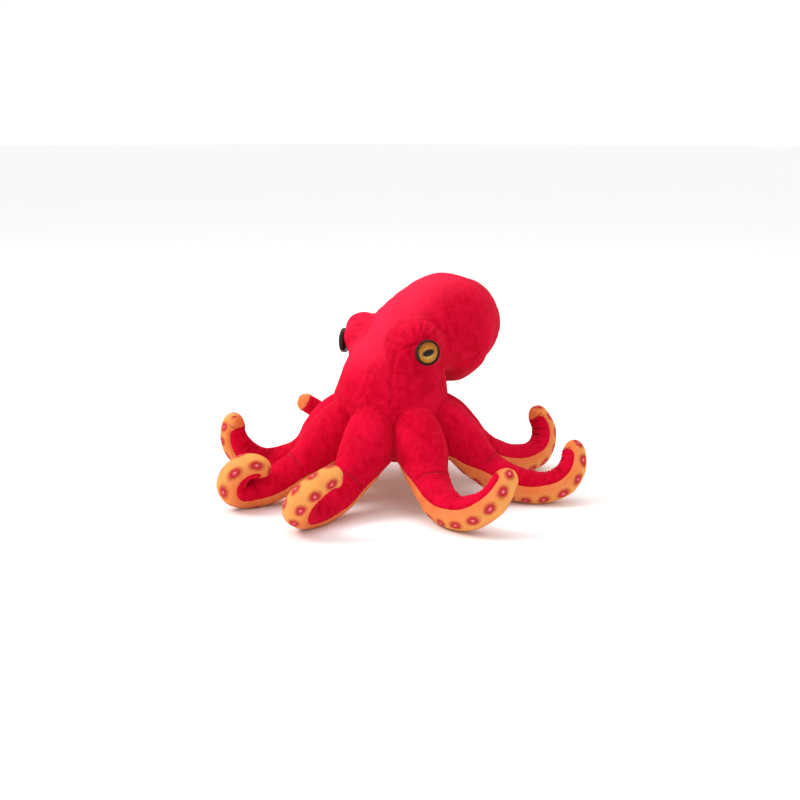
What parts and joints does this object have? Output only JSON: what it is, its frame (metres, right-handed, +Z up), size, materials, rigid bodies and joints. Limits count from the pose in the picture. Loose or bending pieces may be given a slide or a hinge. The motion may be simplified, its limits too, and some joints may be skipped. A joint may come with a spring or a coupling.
{
  "type": "stuffed toy octopus",
  "caption": "Soft plush octopus with a bulbous leaning mantle, domed amber eyes and curling arms with spotted undersides, sitting on its arms.",
  "frame": {"origin": "on the floor, below the middle of the whole toy as it sits", "axes": "+Z up; the toy's face looks along -Y; +X is the toy's left"},
  "size_m": [0.3296, 0.3192, 0.1837],
  "materials": {
    "red_plush": "short-pile crimson velboa plush",
    "printed_plush": "orange plush printed with red sucker spots",
    "fibre_filling": "loose white polyester fibre",
    "eye_cup": "polished dark plastic",
    "eye_iris": "amber painted disc with a dark oval pupil",
    "eye_lens": "clear amber-tinted domed acrylic",
    "eye_washer": "plain moulded plastic"
  },
  "bodies": {
    "body": {"face_panel": "red_plush", "side_panels": "red_plush", "belly_panel": "printed_plush", "body_filling": "fibre_filling", "eye_mounds": "red_plush", "eye_cups": "eye_cup", "eye_irises": "eye_iris", "eye_lenses": "eye_lens", "eye_washers": "eye_washer"},
    "mantle": {"mantle_panel": "red_plush", "mantle_gusset": "red_plush", "mantle_filling": "fibre_filling"},
    "arm_l1_upper": {"arm_l1_upper_back": "red_plush", "arm_l1_upper_underside": "printed_plush", "arm_l1_upper_filling": "fibre_filling"},
    "arm_l1_lower": {"arm_l1_lower_back": "red_plush", "arm_l1_lower_underside": "printed_plush", "arm_l1_lower_filling": "fibre_filling"},
    "arm_l2_upper": {"arm_l2_upper_back": "red_plush", "arm_l2_upper_underside": "printed_plush", "arm_l2_upper_filling": "fibre_filling"},
    "arm_l2_lower": {"arm_l2_lower_back": "red_plush", "arm_l2_lower_underside": "printed_plush", "arm_l2_lower_filling": "fibre_filling"},
    "arm_l3_upper": {"arm_l3_upper_back": "red_plush", "arm_l3_upper_underside": "printed_plush", "arm_l3_upper_filling": "fibre_filling"},
    "arm_l3_lower": {"arm_l3_lower_back": "red_plush", "arm_l3_lower_underside": "printed_plush", "arm_l3_lower_filling": "fibre_filling"},
    "arm_l4_upper": {"arm_l4_upper_back": "red_plush", "arm_l4_upper_underside": "printed_plush", "arm_l4_upper_filling": "fibre_filling"},
    "arm_l4_lower": {"arm_l4_lower_back": "red_plush", "arm_l4_lower_underside": "printed_plush", "arm_l4_lower_filling": "fibre_filling"},
    "arm_r4_upper": {"arm_r4_upper_back": "red_plush", "arm_r4_upper_underside": "printed_plush", "arm_r4_upper_filling": "fibre_filling"},
    "arm_r4_lower": {"arm_r4_lower_back": "red_plush", "arm_r4_lower_underside": "printed_plush", "arm_r4_lower_filling": "fibre_filling"},
    "arm_r3_upper": {"arm_r3_upper_back": "red_plush", "arm_r3_upper_underside": "printed_plush", "arm_r3_upper_filling": "fibre_filling"},
    "arm_r3_lower": {"arm_r3_lower_back": "red_plush", "arm_r3_lower_underside": "printed_plush", "arm_r3_lower_filling": "fibre_filling"},
    "arm_r2_upper": {"arm_r2_upper_back": "red_plush", "arm_r2_upper_underside": "printed_plush", "arm_r2_upper_filling": "fibre_filling"},
    "arm_r2_lower": {"arm_r2_lower_back": "red_plush", "arm_r2_lower_underside": "printed_plush", "arm_r2_lower_filling": "fibre_filling"},
    "arm_r1_upper": {"arm_r1_upper_back": "red_plush", "arm_r1_upper_underside": "printed_plush", "arm_r1_upper_filling": "fibre_filling"},
    "arm_r1_lower": {"arm_r1_lower_back": "red_plush", "arm_r1_lower_underside": "printed_plush", "arm_r1_lower_filling": "fibre_filling"}
  },
  "joints": [
    {"name": "mantle_tilt", "type": "hinge", "parent": "body", "child": "mantle", "pos_m": [0.00732, 0.02298, 0.1275], "axis": [1, 0, 0], "range_deg": [-7, 7], "stiffness_Nm_per_rad": 1.5},
    {"name": "arm_l1_lift", "type": "hinge", "parent": "body", "child": "arm_l1_upper", "pos_m": [0.02453, -0.04783, 0.056], "axis": [-0.9336, -0.3584, 0], "range_deg": [-8, 15], "stiffness_Nm_per_rad": 0.35},
    {"name": "arm_l1_curl", "type": "hinge", "parent": "arm_l1_upper", "child": "arm_l1_lower", "pos_m": [0.03089, -0.08131, 0.02693], "axis": [-0.921, -0.264, 0.2864], "range_deg": [-14, 18], "stiffness_Nm_per_rad": 0.15},
    {"name": "arm_l2_lift", "type": "hinge", "parent": "body", "child": "arm_l2_upper", "pos_m": [0.05167, -0.02139, 0.056], "axis": [-0.3827, -0.9239, 0], "range_deg": [-8, 15], "stiffness_Nm_per_rad": 0.35},
    {"name": "arm_l2_curl", "type": "hinge", "parent": "arm_l2_upper", "child": "arm_l2_lower", "pos_m": [0.08168, -0.03766, 0.02682], "axis": [-0.3356, -0.9258, 0.1741], "range_deg": [-14, 18], "stiffness_Nm_per_rad": 0.15},
    {"name": "arm_l3_lift", "type": "hinge", "parent": "body", "child": "arm_l3_upper", "pos_m": [0.05167, 0.01535, 0.056], "axis": [0.3827, -0.9239, 0], "range_deg": [-8, 15], "stiffness_Nm_per_rad": 0.35},
    {"name": "arm_l3_curl", "type": "hinge", "parent": "arm_l3_upper", "child": "arm_l3_lower", "pos_m": [0.08532, 0.02798, 0.02865], "axis": [0.4604, -0.8804, 0.114], "range_deg": [-14, 18], "stiffness_Nm_per_rad": 0.15},
    {"name": "arm_l4_lift", "type": "hinge", "parent": "body", "child": "arm_l4_upper", "pos_m": [0.02569, 0.04133, 0.056], "axis": [0.9239, -0.3827, 0], "range_deg": [-8, 15], "stiffness_Nm_per_rad": 0.35},
    {"name": "arm_l4_curl", "type": "hinge", "parent": "arm_l4_upper", "child": "arm_l4_lower", "pos_m": [0.04081, 0.07383, 0.02854], "axis": [0.9387, -0.317, 0.1357], "range_deg": [-14, 18], "stiffness_Nm_per_rad": 0.15},
    {"name": "arm_r4_lift", "type": "hinge", "parent": "body", "child": "arm_r4_upper", "pos_m": [-0.01104, 0.04133, 0.056], "axis": [0.9239, 0.3827, 0], "range_deg": [-8, 15], "stiffness_Nm_per_rad": 0.35},
    {"name": "arm_r4_curl", "type": "hinge", "parent": "arm_r4_upper", "child": "arm_r4_lower", "pos_m": [-0.02541, 0.07368, 0.02806], "axis": [0.8554, 0.5108, 0.0858], "range_deg": [-14, 18], "stiffness_Nm_per_rad": 0.15},
    {"name": "arm_r3_lift", "type": "hinge", "parent": "body", "child": "arm_r3_upper", "pos_m": [-0.03702, 0.01535, 0.056], "axis": [0.3827, 0.9239, 0], "range_deg": [-8, 15], "stiffness_Nm_per_rad": 0.35},
    {"name": "arm_r3_curl", "type": "hinge", "parent": "arm_r3_upper", "child": "arm_r3_lower", "pos_m": [-0.06775, 0.02956, 0.0266], "axis": [0.3432, 0.9006, 0.2669], "range_deg": [-14, 18], "stiffness_Nm_per_rad": 0.15},
    {"name": "arm_r2_lift", "type": "hinge", "parent": "body", "child": "arm_r2_upper", "pos_m": [-0.03702, -0.02139, 0.056], "axis": [-0.3827, 0.9239, 0], "range_deg": [-8, 15], "stiffness_Nm_per_rad": 0.35},
    {"name": "arm_r2_curl", "type": "hinge", "parent": "arm_r2_upper", "child": "arm_r2_lower", "pos_m": [-0.06829, -0.03302, 0.02606], "axis": [-0.4866, 0.8643, 0.127], "range_deg": [-14, 18], "stiffness_Nm_per_rad": 0.15},
    {"name": "arm_r1_lift", "type": "hinge", "parent": "body", "child": "arm_r1_upper", "pos_m": [-0.01104, -0.04736, 0.056], "axis": [-0.9239, 0.3827, 0], "range_deg": [-8, 15], "stiffness_Nm_per_rad": 0.35},
    {"name": "arm_r1_curl", "type": "hinge", "parent": "arm_r1_upper", "child": "arm_r1_lower", "pos_m": [-0.02639, -0.07988, 0.02867], "axis": [-0.9315, 0.3322, 0.1484], "range_deg": [-14, 18], "stiffness_Nm_per_rad": 0.15}
  ]
}
